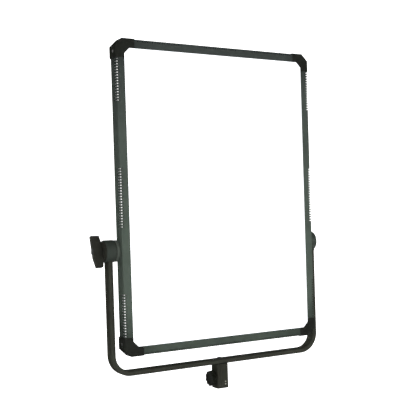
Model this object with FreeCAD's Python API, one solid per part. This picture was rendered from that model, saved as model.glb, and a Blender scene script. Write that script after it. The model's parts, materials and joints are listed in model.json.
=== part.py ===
"""Soft LED panel light on a U-shaped yoke with a stand receiver.

Row frame, millimetres: origin at the mouth of the stand receiver's socket, +Z up along the socket,
the lit face looks along -Y, +X is to the right of someone facing the lit face.
One STEP file per piece is written to parts/.
"""
import FreeCAD
import Part
import math
import os

V = FreeCAD.Vector

# ------------------------------------------------------------------ driving dimensions
W = 492.0            # head width
H = 662.0            # head height
D_RIM = 28.0         # depth of the front rim frame
BEZEL = 19.4         # width of the rim seen from the front
ROUND = 2.5          # radius of the rim's outer front edge
WALL = 2.2           # wall of the rim extrusion
C_OUT = 15.4         # corner chamfer, outside
C_IN = 12.0          # corner chamfer of the lit opening
CORNER = 40.0        # length of each corner cap down the sides; 3 mm more along the top
STEP = 0.7           # rails sit this far inside the nominal outline, caps this far outside
D_CAP = 31.0         # depth of the corner caps
Y_PIVOT = 34.0       # pivot axis behind the front face
YF = -Y_PIVOT        # front face

RUN_T = 11.3         # yoke section, in the plane of the U
RUN_D = 25.0         # yoke section, front to back
RUN_WALL = 2.0
RUN_R = 4.0          # outer corner radius of the yoke section
BEND = 40.0          # bend radius on the centreline
X_LEG = 262.5        # centreline of each yoke leg
BLOCK_H = 54.4       # receiver block height
Z_RUN = BLOCK_H + RUN_T / 2
DROP = 259.6         # pivot axis above the run's centreline
ZP = Z_RUN + DROP    # pivot height
HEAD_BELOW = 220.5   # head below the pivot axis
ZB = ZP - HEAD_BELOW  # head bottom
ZT = ZB + H          # head top
ZC = (ZB + ZT) / 2

R_HUB = 23.5         # lugs and spacers
X_IN = 252.0         # inner face of each lug
X_OUT_L = 274.0      # outer face of the lug on the knob side
X_OUT_R = 267.8      # outer face of the plain lug
PAD = 1.2            # friction disc

SOCKET_R = 8.1       # receiver bore radius, for a 16 mm (5/8 inch) spigot
SOCKET_L = 42.0
BLOCK_X = 28.5
BLOCK_Y = 28.0
Z_CLAMP = 23.0       # clamp screw height

SLOT_W = 2.2
SLOT_P = 5.75
SLOT_U = 6.2         # slot reach across the front flange
SLOT_Y = 12.0        # slot reach down the side wall

Y_DIFF = WALL + 0.8  # front of the diffuser behind the front face
T_DIFF = 3.0
Y_PLATE = 22.0       # front of the back plate
T_PLATE = 2.0
INSET_R = 12.0       # rear housing inset from the rim
Y_REAR = 46.0        # rear of the housing

os.makedirs("parts", exist_ok=True)
made = {}


# ------------------------------------------------------------------ helpers
def box(x0, y0, z0, x1, y1, z1):
    return Part.makeBox(x1 - x0, y1 - y0, z1 - z0, V(x0, y0, z0))


def cyl(r, p, d, length):
    return Part.makeCylinder(r, length, V(*p), V(*d))


def cyl_x(r, x0, x1, y, z):
    return Part.makeCylinder(r, x1 - x0, V(x0, y, z), V(1, 0, 0))


def cyl_y(r, y0, y1, x, z):
    return Part.makeCylinder(r, y1 - y0, V(x, y0, z), V(0, 1, 0))


def cyl_z(r, z0, z1, x, y):
    return Part.makeCylinder(r, z1 - z0, V(x, y, z0), V(0, 0, 1))


def poly(points):
    pts = [V(*p) for p in points]
    return Part.makePolygon(pts + [pts[0]])


def octagon(inset, y, half_w=W / 2, half_h=H / 2, c=C_OUT):
    """Octagonal wire at depth y behind the front face, inset from the given outline."""
    a, b = half_w - inset, half_h - inset
    k = max(c - inset * (2 - math.sqrt(2)), 0.5)
    yy = YF + y
    return poly([(-a, yy, ZC - b + k), (-a, yy, ZC + b - k), (-a + k, yy, ZC + b), (a - k, yy, ZC + b),
                 (a, yy, ZC + b - k), (a, yy, ZC - b + k), (a - k, yy, ZC - b), (-a + k, yy, ZC - b)])


def prism(wire, depth):
    return Part.Face(wire).extrude(V(0, depth, 0))


def loft(w0, w1):
    return Part.makeLoft([w0, w1], True, True)


def rounded_rect_face(w, h, r, place):
    """Face in the local XY plane, centred, placed by a Placement."""
    a, b = w / 2, h / 2
    s = math.sqrt(0.5)
    e = [
        Part.LineSegment(V(-a + r, -b, 0), V(a - r, -b, 0)).toShape(),
        Part.Arc(V(a - r, -b, 0), V(a - r + r * s, -b + r - r * s, 0), V(a, -b + r, 0)).toShape(),
        Part.LineSegment(V(a, -b + r, 0), V(a, b - r, 0)).toShape(),
        Part.Arc(V(a, b - r, 0), V(a - r + r * s, b - r + r * s, 0), V(a - r, b, 0)).toShape(),
        Part.LineSegment(V(a - r, b, 0), V(-a + r, b, 0)).toShape(),
        Part.Arc(V(-a + r, b, 0), V(-a + r - r * s, b - r + r * s, 0), V(-a, b - r, 0)).toShape(),
        Part.LineSegment(V(-a, b - r, 0), V(-a, -b + r, 0)).toShape(),
        Part.Arc(V(-a, -b + r, 0), V(-a + r - r * s, -b + r - r * s, 0), V(-a + r, -b, 0)).toShape(),
    ]
    f = Part.Face(Part.Wire(e))
    f.Placement = place
    return f


def rbox(x0, y0, z0, x1, y1, z1, r, axis="y"):
    """Box with the four edges along one axis rounded."""
    b = box(x0, y0, z0, x1, y1, z1)
    want = {"x": 0, "y": 1, "z": 2}[axis]
    edges = []
    for e in b.Edges:
        d = e.Vertexes[1].Point.sub(e.Vertexes[0].Point)
        c = [abs(d.x), abs(d.y), abs(d.z)]
        if c[want] > 1e-6 and sum(c) - c[want] < 1e-6:
            edges.append(e)
    return b.makeFillet(r, edges)


def union(shapes):
    s = shapes[0]
    if len(shapes) > 1:
        s = s.multiFuse(shapes[1:])
    return s.removeSplitter()


def cut(a, tools):
    return a.cut(Part.makeCompound(tools) if isinstance(tools, list) else tools)


def save(name, shape):
    solids = shape.Solids
    assert solids, name
    for s in solids:
        assert s.isValid() and s.Volume > 0, name
    out = solids[0] if len(solids) == 1 else Part.makeCompound(solids)
    out.exportStep("parts/%s.step" % name)
    made[name] = (len(solids), sum(s.Volume for s in solids))


# ------------------------------------------------------------------ rim frame: four slotted rails and four corner caps
def rounded(shape, y, r):
    """Round the edges that lie in the plane at depth y."""
    return shape.makeFillet(r, [e for e in shape.Edges if e.BoundBox.YLength < 1e-6 and abs(e.BoundBox.YMin - (YF + y)) < 1e-6])


def rim(grow, front, depth):
    """Rim section carried round the octagon: outer wall, rounded edge, front flange and a return lip at the rear."""
    o = -grow
    body = rounded(prism(octagon(o, front), depth - front), front, ROUND)
    cavity = rounded(prism(octagon(WALL, WALL), depth), WALL, ROUND - WALL)
    hole = prism(octagon(0, -4, W / 2 - BEZEL, H / 2 - BEZEL, C_IN), 12)
    lip = prism(octagon(o, depth - 1.6), 1.6).cut(prism(octagon(5.0, depth - 3), 6))
    return body.cut(cavity).cut(hole).fuse(lip).removeSplitter()


ring = rim(-STEP, 0.0, D_RIM)
ring_cap = rim(STEP, -0.4, D_CAP)
# two shallow grooves along the rails' side walls
for y0 in (16.0, 21.0):
    ring = ring.cut(prism(octagon(-2, y0), 1.4).cut(prism(octagon(1.25, y0 - 1), 4)))

XS = W / 2 - CORNER - 3.0
ZS = H / 2 - CORNER
big = 60.0
cells = {
    "corner_cap_top_left": box(-W / 2 - big, YF - big, ZC + ZS, -XS, YF + big, ZT + big),
    "corner_cap_top_right": box(XS, YF - big, ZC + ZS, W / 2 + big, YF + big, ZT + big),
    "corner_cap_bottom_left": box(-W / 2 - big, YF - big, ZB - big, -XS, YF + big, ZC - ZS),
    "corner_cap_bottom_right": box(XS, YF - big, ZB - big, W / 2 + big, YF + big, ZC - ZS),
    "frame_rail_top": box(-XS, YF - big, ZC + ZS, XS, YF + big, ZT + big),
    "frame_rail_bottom": box(-XS, YF - big, ZB - big, XS, YF + big, ZC - ZS),
    "frame_rail_left": box(-W / 2 - big, YF - big, ZC - ZS, -XS, YF + big, ZC + ZS),
    "frame_rail_right": box(XS, YF - big, ZC - ZS, W / 2 + big, YF + big, ZC + ZS),
}


def slot_centres(centre, n):
    return [centre + (i - (n - 1) / 2) * SLOT_P for i in range(n)]


side_groups = slot_centres(ZC + 245.0, 16) + slot_centres(ZC, 22) + slot_centres(ZC - 245.0, 16)
end_groups = slot_centres(-143.5, 19) + slot_centres(0.0, 17) + slot_centres(143.5, 19)
h = SLOT_W / 2
slots = {"frame_rail_left": [], "frame_rail_right": [], "frame_rail_top": [], "frame_rail_bottom": []}
for z in side_groups:
    slots["frame_rail_left"].append(box(-W / 2 - 2, YF - 2, z - h, -W / 2 + SLOT_U, YF + SLOT_Y, z + h))
    slots["frame_rail_right"].append(box(W / 2 - SLOT_U, YF - 2, z - h, W / 2 + 2, YF + SLOT_Y, z + h))
for x in end_groups:
    slots["frame_rail_top"].append(box(x - h, YF - 2, ZT - SLOT_U, x + h, YF + SLOT_Y, ZT + 2))
    slots["frame_rail_bottom"].append(box(x - h, YF - 2, ZB - 2, x + h, YF + SLOT_Y, ZB + SLOT_U))

# pivot spacers bolt on through the side walls
pivot_holes = [cyl_x(5.2, s * 235 - 30, s * 235 + 30, 0, ZP) for s in (-1, 1)]
for name, cell in cells.items():
    piece = (ring_cap if name.startswith("corner") else ring).common(cell)
    if name in slots:
        piece = cut(piece, slots[name])
    if name.startswith("corner"):
        # moulded caps: the step at each joint and a screw seat in the side walls
        sx = -1 if "left" in name else 1
        sz = 1 if "top" in name else -1
        zc = ZC + sz * (H / 2 - 26)
        xc = sx * (W / 2 - 26)
        web = box(min(sx * (W / 2 - WALL), sx * (W / 2 - 14)), YF + 8, min(ZC + sz * (H / 2 - WALL), ZC + sz * (H / 2 - 14)),
                  max(sx * (W / 2 - WALL), sx * (W / 2 - 14)), YF + 20, max(ZC + sz * (H / 2 - WALL), ZC + sz * (H / 2 - 14)))
        web = web.common(prism(octagon(WALL, 7), 14))
        piece = piece.fuse(web).removeSplitter()
        piece = cut(piece, [cyl_x(1.7, min(sx * (W / 2 - 6), sx * (W / 2 + 4)), max(sx * (W / 2 - 6), sx * (W / 2 + 4)), YF + 14, zc)])
    save(name, piece)

# countersunk screws that hold the caps to the corner angles
cap_screws = []
for sx in (-1, 1):
    for sz in (-1, 1):
        zc = ZC + sz * (H / 2 - 26)
        x_face = sx * (W / 2 + STEP)
        head = Part.makeCone(1.6, 3.1, 1.4, V(x_face - sx * 1.5, YF + 14, zc), V(sx, 0, 0))
        shank = cyl(1.6, (x_face - sx * 4.5, YF + 14, zc), (sx, 0, 0), 3.2)
        cap_screws.append(head.fuse(shank).removeSplitter())
# seats for the screw heads
for sx in (-1, 1):
    for sz in (-1, 1):
        name = "corner_cap_%s_%s" % ("top" if sz > 0 else "bottom", "left" if sx < 0 else "right")
        zc = ZC + sz * (H / 2 - 26)
        piece = Part.read("parts/%s.step" % name)
        seat = Part.makeCone(1.7, 3.5, 1.75, V(sx * (W / 2 + STEP - 1.7), YF + 14, zc), V(sx, 0, 0))
        save(name, piece.cut(seat))
save("cap_screws", Part.makeCompound(cap_screws))

# ------------------------------------------------------------------ light engine
gasket = prism(octagon(9.2, WALL), 0.8).cut(prism(octagon(-2.0, 0, W / 2 - BEZEL, H / 2 - BEZEL, C_IN), 8))
save("diffuser_gasket", gasket)
diffuser = prism(octagon(9.2, Y_DIFF), T_DIFF)
save("diffuser_panel", diffuser)
retainer = prism(octagon(9.2, Y_DIFF + T_DIFF), 4.4).cut(prism(octagon(14.0, Y_DIFF + T_DIFF - 1), 8))
save("diffuser_retainer", retainer)
y_box = Y_DIFF + T_DIFF + 4.4
walls = prism(octagon(10.0, y_box), Y_PLATE - y_box).cut(prism(octagon(12.0, y_box - 1), 16))
save("light_box_walls", walls)

# two LED boards on the back plate, each with rows of encapsulated emitters
boards = []
strips = []
bw, bh = 440.0, 300.0
rows = 8
for k in (-1, 1):
    zc = ZC + k * (bh / 2 + 4)
    boards.append(box(-bw / 2, YF + 20.4, zc - bh / 2, bw / 2, YF + Y_PLATE, zc + bh / 2))
    for j in range(rows):
        z = zc + (j - (rows - 1) / 2) * 36.0
        strips.append(box(-205, YF + 19.5, z - 2.5, 205, YF + 20.4, z + 2.5))
save("led_boards", Part.makeCompound(boards))
save("led_strips", Part.makeCompound(strips))

plate = prism(octagon(WALL + 0.2, Y_PLATE), T_PLATE)
wire_hole = rbox(-14, YF + 20, ZC - 2.5, 14, YF + 26, ZC + 2.5, 2)
save("back_plate", cut(plate, [wire_hole]))

# ------------------------------------------------------------------ rear housing
Y0R = Y_PLATE + T_PLATE
shell = prism(octagon(INSET_R, Y0R), Y_REAR - 4.0 - Y0R).fuse(loft(octagon(INSET_R, Y_REAR - 4.0), octagon(INSET_R + 4.0, Y_REAR)))
hollow = prism(octagon(INSET_R + 1.8, Y0R - 1), Y_REAR - 4.4 - Y0R + 1).fuse(
    loft(octagon(INSET_R + 1.8, Y_REAR - 4.4), octagon(INSET_R + 4.4, Y_REAR - 1.8)))
housing = shell.cut(hollow).removeSplitter()
# raised cooling ribs on the back, above and below the control box
ribs = []
YR = YF + Y_REAR
for i in range(15):
    x = -168 + i * 24.0
    ribs.append(rbox(x - 1.5, YR - 0.6, ZC + 40, x + 1.5, YR + 3.0, ZT - 92, 1.4))
housing = housing.multiFuse(ribs).removeSplitter()
grid = []
for i in range(29):
    x = -168 + i * 12.0
    for z0 in (ZT - 80, ZB + 44):
        grid.append(rbox(x - 1.6, YR - 6, z0, x + 1.6, YR + 6, z0 + 26, 1.5))
housing = cut(housing, grid)
cable_pass = rbox(-40, YR - 6, 222, 40, YR + 6, 262, 4)
screw_xy = [(-214, ZB + 30), (214, ZB + 30), (-214, ZT - 30), (214, ZT - 30), (0, ZT - 30), (0, ZB + 30), (-214, ZC + 60), (214, ZC + 60)]
housing = cut(housing, [cable_pass] + [cyl_y(1.8, YR - 6, YR + 6, x, z) for x, z in screw_xy])
side_open = [cyl_x(4.3, s * 232 - 8, s * 232 + 8, 0, ZP) for s in (-1, 1)]
housing = cut(housing, side_open)
save("rear_housing", housing)

standoffs, rear_screws = [], []
for x, z in screw_xy:
    standoffs.append(cyl_y(3.6, YF + Y0R, YR - 1.8, x, z).cut(cyl_y(1.5, YF + Y0R + 4, YR, x, z)))
    rear_screws.append(cyl_y(1.45, YR - 10, YR - 0.0, x, z).fuse(cyl_y(3.2, YR, YR + 1.9, x, z)).removeSplitter()
                       .cut(Part.Face(poly([(x + 1.45 * math.cos(math.radians(a)), YR + 0.7, z + 1.45 * math.sin(math.radians(a))) for a in range(0, 360, 60)])).extrude(V(0, 3, 0))))
save("rear_screws", Part.makeCompound(rear_screws))

# driver board and its parts inside the housing
drv_z0, drv_z1 = ZC + 60, ZC + 200
y_drv = YF + Y0R + 4
driver = box(-95, y_drv, drv_z0, 95, y_drv + 1.6, drv_z1)
posts_xy = [(-88, drv_z0 + 7), (88, drv_z0 + 7), (-88, drv_z1 - 7), (88, drv_z1 - 7)]
driver = cut(driver, [cyl_y(1.7, y_drv - 1, y_drv + 3, x, z) for x, z in posts_xy])
save("driver_board", driver)
parts_ = []
for x, z in [(-60, drv_z0 + 40), (-20, drv_z0 + 40), (20, drv_z0 + 40), (60, drv_z0 + 40)]:
    parts_.append(rbox(x - 10, y_drv + 1.6, z - 10, x + 10, y_drv + 10.6, z + 10, 2.5))
for x in (-66, -44, -22, 0, 22, 44, 66):
    parts_.append(cyl_y(5.0, y_drv + 1.6, y_drv + 13.6, x, drv_z0 + 85))
for x in (-50, 0, 50):
    parts_.append(box(x - 14, y_drv + 1.6, drv_z0 + 112, x + 14, y_drv + 6.1, drv_z0 + 124))
save("driver_components", Part.makeCompound(parts_))
save("housing_standoffs", Part.makeCompound(standoffs + [cyl_y(3.0, YF + Y0R, y_drv, x, z) for x, z in posts_xy]))

# ------------------------------------------------------------------ control box on the back
CX, CZ0, CZ1 = 118.0, 196.0, 288.0
CY0, CY1 = YR, YR + 20.0
cbox = rbox(-CX, CY0, CZ0, CX, CY1, CZ1, 6.0)
cbox = cbox.makeChamfer(2.0, [e for e in cbox.Edges if abs(e.BoundBox.YMin - CY1) < 1e-6 and abs(e.BoundBox.YMax - CY1) < 1e-6])
cin = rbox(-CX + 2.5, CY0 - 1, CZ0 + 2.5, CX - 2.5, CY1 - 3.0, CZ1 - 2.5, 4.0)
recess = rbox(-CX + 7, CY1 - 1.2, CZ0 + 7, CX - 7, CY1 + 1, CZ1 - 7, 3.0)
cbox = cbox.cut(cin).cut(recess)

# seen from behind: display in the middle, knobs to its sides, sockets below
DISP = (-34.0, 246.0, 34.0, 276.0)
KNOBS = {"dimmer_knob": (72.0, 261.0), "colour_knob": (-72.0, 261.0)}
BUTTONS = {"mode_button": (-22.0, 233.5), "menu_button": (0.0, 233.5), "channel_button": (22.0, 233.5)}
ROCK = (88.0, 220.0)
INLET = (52.0, 217.0)
JACKS = [(-50.0, 217.0), (-76.0, 217.0)]
face_y0, face_y1 = CY1 - 1.2, CY1
through = [
    box(DISP[0], CY1 - 5, DISP[1], DISP[2], CY1 + 2, DISP[3]),
    box(ROCK[0] - 6.6, CY1 - 5, ROCK[1] - 9.6, ROCK[0] + 6.6, CY1 + 2, ROCK[1] + 9.6),
    cyl_y(9.0, CY1 - 5, CY1 + 2, INLET[0], INLET[1]),
]
for x, z in KNOBS.values():
    through.append(cyl_y(4.0, CY1 - 5, CY1 + 2, x, z))
for x, z in BUTTONS.values():
    through.append(box(x - 5.3, CY1 - 5, z - 3.1, x + 5.3, CY1 + 2, z + 3.1))
for x, z in JACKS:
    through.append(box(x - 8.1, CY1 - 5, z - 7.1, x + 8.1, CY1 + 2, z + 7.1))
box_screws_xy = [(-CX + 12, CZ0 + 12), (CX - 12, CZ0 + 12), (-CX + 12, CZ1 - 12), (CX - 12, CZ1 - 12)]
cbox = cut(cbox, through + [cyl_y(1.8, CY1 - 5, CY1 + 2, x, z) for x, z in box_screws_xy])
save("control_box", cbox)
face = rbox(-CX + 7.2, face_y0, CZ0 + 7.2, CX - 7.2, face_y1, CZ1 - 7.2, 2.8)
face = cut(face, through + [cyl_y(1.8, CY1 - 5, CY1 + 2, x, z) for x, z in box_screws_xy])
save("control_faceplate", face)
bs = []
for x, z in box_screws_xy:
    s = cyl_y(1.5, CY1 - 9, CY1, x, z).fuse(cyl_y(2.9, CY1, CY1 + 1.5, x, z)).removeSplitter()
    bs.append(s.cut(Part.Face(poly([(x + 1.3 * math.cos(math.radians(a)), CY1 + 0.5, z + 1.3 * math.sin(math.radians(a))) for a in range(0, 360, 60)])).extrude(V(0, 3, 0))))
save("control_box_screws", Part.makeCompound(bs))
save("display_window", box(DISP[0] + 0.15, CY1 - 1.0, DISP[1] + 0.15, DISP[2] - 0.15, CY1 + 0.3, DISP[3] - 0.15))
y_cb = CY1 - 15.0
save("control_board", box(-104, y_cb, 228.0, 104, y_cb + 1.6, 282.0))

# rotary encoders: a fixed body behind the wall, a knob with its shaft
enc = []
for name, (x, z) in KNOBS.items():
    e = box(x - 6, y_cb + 1.6, z - 6, x + 6, CY1 - 3.6, z + 6).fuse(cyl_y(3.5, CY1 - 3.6, CY1 - 0.4, x, z)).removeSplitter()
    e = e.cut(cyl_y(3.06, CY1 - 8, CY1 + 2, x, z))
    enc.append(e)
    knob = cyl_y(11.0, CY1 + 1.0, CY1 + 12.5, x, z)
    edge = [ed for ed in knob.Edges if abs(ed.BoundBox.YMin - (CY1 + 12.5)) < 1e-6 and abs(ed.BoundBox.YMax - (CY1 + 12.5)) < 1e-6]
    knob = knob.makeFillet(1.5, edge)
    flutes = [cyl_y(1.1, CY1 + 2.6, CY1 + 14, x + 11.45 * math.cos(2 * math.pi * i / 18), z + 11.45 * math.sin(2 * math.pi * i / 18)) for i in range(18)]
    mark = box(x - 0.6, CY1 + 12.0, z + 3.5, x + 0.6, CY1 + 14, z + 9.2)
    knob = cut(knob, flutes + [mark, cyl_y(3.0, CY1 - 2, CY1 + 9, x, z)])
    save(name, knob)
    save(name.replace("knob", "shaft"), cyl_y(3.0, CY1 - 8.0, CY1 + 9.0, x, z))
save("encoder_bodies", Part.makeCompound(enc))

sw = []
for name, (x, z) in BUTTONS.items():
    cap = rbox(x - 5.1, CY1 - 3.6, z - 2.9, x + 5.1, CY1 + 1.4, z + 2.9, 0.8)
    save(name, cap)
    sw.append(box(x - 3, y_cb + 1.6, z - 3, x + 3, CY1 - 5.0, z + 3))
save("tact_switches", Part.makeCompound(sw))

# power rocker in its frame
rx, rz = ROCK
frame_ = rbox(rx - 8.6, CY1, rz - 11.6, rx + 8.6, CY1 + 1.5, rz + 11.6, 1.5).fuse(box(rx - 6.5, CY1 - 13, rz - 9.5, rx + 6.5, CY1, rz + 9.5)).removeSplitter()
frame_ = frame_.cut(box(rx - 5.5, CY1 - 9.5, rz - 8.6, rx + 5.5, CY1 + 3, rz + 8.6)).cut(cyl_x(0.95, rx - 6.3, rx + 6.3, CY1 - 2.0, rz))
save("power_switch_frame", frame_)
y_rp = CY1 - 2.0
rock = Part.Face(poly([(rx - 5.2, y_rp - 2.0, rz - 6.2), (rx - 5.2, y_rp - 2.0, rz + 6.2), (rx - 5.2, y_rp + 4.4, rz + 7.6),
                       (rx - 5.2, y_rp + 3.4, rz), (rx - 5.2, y_rp + 4.4, rz - 7.6)])).extrude(V(10.4, 0, 0))
rock = rock.fuse(cyl_x(0.9, rx - 6.2, rx + 6.2, y_rp, rz)).removeSplitter()
rock.rotate(V(rx, y_rp, rz), V(1, 0, 0), 7.0)
save("power_rocker", rock)

# 4-pin direct-current inlet, and two data sockets
ix, iz = INLET
inlet = cyl_y(11.0, CY1, CY1 + 1.6, ix, iz).fuse(cyl_y(8.8, CY1 - 13, CY1, ix, iz)).removeSplitter()
inlet = inlet.cut(cyl_y(7.0, CY1 - 10, CY1 + 4, ix, iz))
pins = [cyl_y(0.8, CY1 - 12, CY1 - 5.5, ix + 3.4 * math.cos(math.radians(a)), iz + 3.4 * math.sin(math.radians(a))) for a in (45, 135, 225, 315)]
save("dc_inlet", inlet.multiFuse(pins).removeSplitter())
jk = []
for x, z in JACKS:
    j = box(x - 8.0, CY1 - 13.0, z - 7.0, x + 8.0, CY1 + 0.6, z + 7.0)
    j = j.cut(box(x - 5.9, CY1 - 11.0, z - 4.6, x + 5.9, CY1 + 3, z + 3.2)).cut(box(x - 3.2, CY1 - 11.0, z - 6.1, x + 3.2, CY1 + 3, z - 4.0))
    jk.append(j)
save("data_sockets", Part.makeCompound(jk))

# ------------------------------------------------------------------ pivots on the head
screws_at = [(0.0, ZP + 14.5), (0.0, ZP - 14.5)]
seats = [cyl_x(1.7, -400, 400, y, z) for y, z in screws_at]
bosses, spacers, pscrews, plates = [], [], [], []
for sx in (-1, 1):
    # boss behind the rim: fills the step between the housing's side and the rim
    xi, xo = W / 2 - INSET_R, W / 2 - STEP
    boss = cyl_x(22.0, min(sx * xi, sx * xo), max(sx * xi, sx * xo), 0, ZP)
    boss = boss.common(box(-400, YF + D_RIM + 0.2, ZP - 30, 400, YF + Y_REAR - 4.0, ZP + 30))
    bosses.append(cut(boss, seats + [cyl_x(5.05, -400, 400, 0, ZP)]))
    # spacer disc against the rim's side wall and the boss
    x0, x1 = W / 2 - STEP, X_IN - PAD - 0.05
    sp = cyl_x(R_HUB - 0.6, min(sx * x0, sx * x1), max(sx * x0, sx * x1), 0, ZP)
    e = [ed for ed in sp.Edges if ed.BoundBox.XLength < 1e-6 and abs(ed.BoundBox.XMin - sx * x1) < 1e-3]
    sp = sp.makeChamfer(0.8, e)
    spacers.append(cut(sp, seats + [cyl_x(5.05, -400, 400, 0, ZP)]))
    for y, z in screws_at:
        pscrews.append(cyl_x(1.6, min(sx * (xi - 6), sx * (x1 - 1.2)), max(sx * (xi - 6), sx * (x1 - 1.2)), y, z))
    # threaded plate inside the housing carries the pivot
    xn = xi - 1.8
    p = box(min(sx * xn, sx * (xn - 5)), YF + Y0R + 1, ZP - 22, max(sx * xn, sx * (xn - 5)), YF + Y_REAR - 5.0, ZP + 22)
    plates.append(cut(p, [cyl_x(4.05 if sx < 0 else 4.0, -400, 400, 0, ZP)] + [cyl_x(1.6, -400, 400, y, z) for y, z in screws_at]))
save("pivot_bosses", Part.makeCompound(bosses))
save("pivot_spacers", Part.makeCompound(spacers))
save("pivot_screws", Part.makeCompound(pscrews))
save("pivot_nut_plates", Part.makeCompound(plates))
housing = Part.read("parts/rear_housing.step")
save("rear_housing", cut(housing, seats))

# right pivot: a shoulder bolt with its head sunk in the plain lug
xb0 = W / 2 - INSET_R - 1.8 - 5
bolt = cyl_x(4.0, xb0 - 1, X_IN + 10.0, 0, ZP).fuse(cyl_x(8.0, X_IN + 8.0, X_IN + 13.0, 0, ZP)).removeSplitter()
bolt = bolt.cut(Part.Face(poly([(X_IN + 10.0, 2.9 * math.cos(math.radians(a)), ZP + 2.9 * math.sin(math.radians(a))) for a in range(0, 360, 60)])).extrude(V(6, 0, 0)))
save("pivot_bolt_right", bolt)

# ------------------------------------------------------------------ yoke
def u_tube(t, d, r):
    """Solid following the U, with a rounded rectangular section t by d."""
    top = ZP
    zl = Z_RUN + BEND
    shapes = []
    # legs: section in XY, extruded up
    for sx in (-1, 1):
        f = rounded_rect_face(t, d, r, FreeCAD.Placement(V(sx * X_LEG, 0, zl), FreeCAD.Rotation()))
        shapes.append(f.extrude(V(0, 0, top - zl)))
    # bends: revolve the leg section about the bend's axis
    for sx in (-1, 1):
        f = rounded_rect_face(t, d, r, FreeCAD.Placement(V(sx * X_LEG, 0, zl), FreeCAD.Rotation()))
        shapes.append(f.revolve(V(sx * (X_LEG - BEND), 0, zl), V(0, 1, 0), 90 if sx > 0 else -90))
    # run: section in YZ
    f = rounded_rect_face(t, d, r, FreeCAD.Placement(V(-(X_LEG - BEND), 0, Z_RUN), FreeCAD.Rotation(V(0, 1, 0), 90)))
    shapes.append(f.extrude(V(2 * (X_LEG - BEND), 0, 0)))
    return shapes


outer_u = u_tube(RUN_T, RUN_D, RUN_R)
inner_u = u_tube(RUN_T - 2 * RUN_WALL, RUN_D - 2 * RUN_WALL, RUN_R - RUN_WALL)
yoke = outer_u[0].multiFuse(outer_u[1:])
yin = inner_u[0].multiFuse(inner_u[1:])
yoke = yoke.cut(yin).removeSplitter()
yoke = yoke.cut(cyl_x(R_HUB, -400, 400, 0, ZP))
yoke = yoke.cut(box(-400, -60, ZP - 2, 400, 60, ZP + 60))
yoke = yoke.cut(cyl_z(4.2, Z_RUN - 20, Z_RUN + 20, 0, 0))
save("yoke_tube", yoke)

lug = cyl_x(R_HUB, -X_OUT_L, -X_IN, 0, ZP)
e = [ed for ed in lug.Edges if ed.BoundBox.XLength < 1e-6 and ed.Length > 50]
lug = lug.makeFillet(1.4, e)
lug = lug.cut(cyl_x(4.06, -400, 0, 0, ZP))
save("yoke_lug_left", lug)
lug = cyl_x(R_HUB, X_IN, X_OUT_R, 0, ZP)
e = [ed for ed in lug.Edges if ed.BoundBox.XLength < 1e-6 and ed.Length > 50]
lug = lug.makeFillet(1.2, [ed for ed in e if ed.BoundBox.XMin < X_IN + 1])
e = [ed for ed in lug.Edges if ed.BoundBox.XLength < 1e-6 and ed.Length > 50 and ed.BoundBox.XMin > X_OUT_R - 0.01]
lug = lug.makeFillet(2.4, e)
lug = lug.cut(cyl_x(4.06, 0, 400, 0, ZP)).cut(cyl_x(9.0, X_IN + 7.9, 400, 0, ZP)).cut(cyl_x(14.0, X_OUT_R - 1.6, 400, 0, ZP))
save("yoke_lug_right", lug)
capr = cyl_x(13.9, X_OUT_R - 1.6, X_OUT_R + 0.6, 0, ZP)
e = [ed for ed in capr.Edges if ed.BoundBox.XLength < 1e-6 and abs(ed.BoundBox.XMin - X_OUT_R - 0.6) < 1e-3]
capr = capr.makeFillet(0.5, e)
save("pivot_cap_right", capr)
discs = [cyl_x(R_HUB - 1.5, -X_IN, -X_IN + PAD, 0, ZP), cyl_x(R_HUB - 1.5, X_IN - PAD, X_IN, 0, ZP)]
save("friction_discs", Part.makeCompound([dd.cut(cyl_x(4.3, -400, 400, 0, ZP)) for dd in discs]))

# ------------------------------------------------------------------ tilt lock: bar handle and its stud
TILT_TURN = 17.0     # how far the bar stands from vertical
KX0, KX1 = -X_OUT_L - 24.0, -X_OUT_L
bar_l, bar_w = 68.0, 12.5
neck = Part.makeCone(22.4, 18.5, 5.2, V(KX1 - 0.3, 0, ZP), V(-1, 0, 0))
hl = bar_l / 2
bar = Part.Face(poly([(KX0 + 4.0, 0, ZP - hl), (KX0, 0, ZP - hl + 21.0), (KX0, 0, ZP + hl), (KX0 + 17.0, 0, ZP + hl - 0.5),
                      (KX0 + 20.0, 0, ZP + 18.5), (KX0 + 20.0, 0, ZP - 18.5), (KX0 + 17.5, 0, ZP - hl + 0.3)])).extrude(V(0, bar_w, 0))
bar.translate(V(0, -bar_w / 2, 0))
bar = bar.makeFillet(1.6, [ed for ed in bar.Edges if ed.BoundBox.YLength < 1e-6 and ed.BoundBox.XMax < KX0 + 18.0])
handle = neck.fuse(bar).removeSplitter()
handle.rotate(V(0, 0, ZP), V(1, 0, 0), -TILT_TURN)
insert = cyl_x(7.0, KX0 - 1, KX0 + 1.2, 0, ZP)
stud_seat = cyl_x(4.0, KX0 + 6.0, -200, 0, ZP)
handle = handle.cut(insert).cut(stud_seat)
save("tilt_lock_handle", handle)
save("tilt_lock_cap", cyl_x(6.9, KX0 - 0.2, KX0 + 1.2, 0, ZP))
save("tilt_lock_stud", cyl_x(4.0, KX0 + 6.0, -(W / 2 - INSET_R - 1.8 - 5), 0, ZP))

# ------------------------------------------------------------------ stand receiver
blk = rbox(-BLOCK_X / 2, -BLOCK_Y / 2, 0, BLOCK_X / 2, BLOCK_Y / 2, BLOCK_H, 3.0, "z")
blk = blk.cut(cyl_z(SOCKET_R, -1, SOCKET_L, 0, 0))
blk = blk.cut(cyl_z(3.4, SOCKET_L - 1, BLOCK_H + 1, 0, 0))
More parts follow.
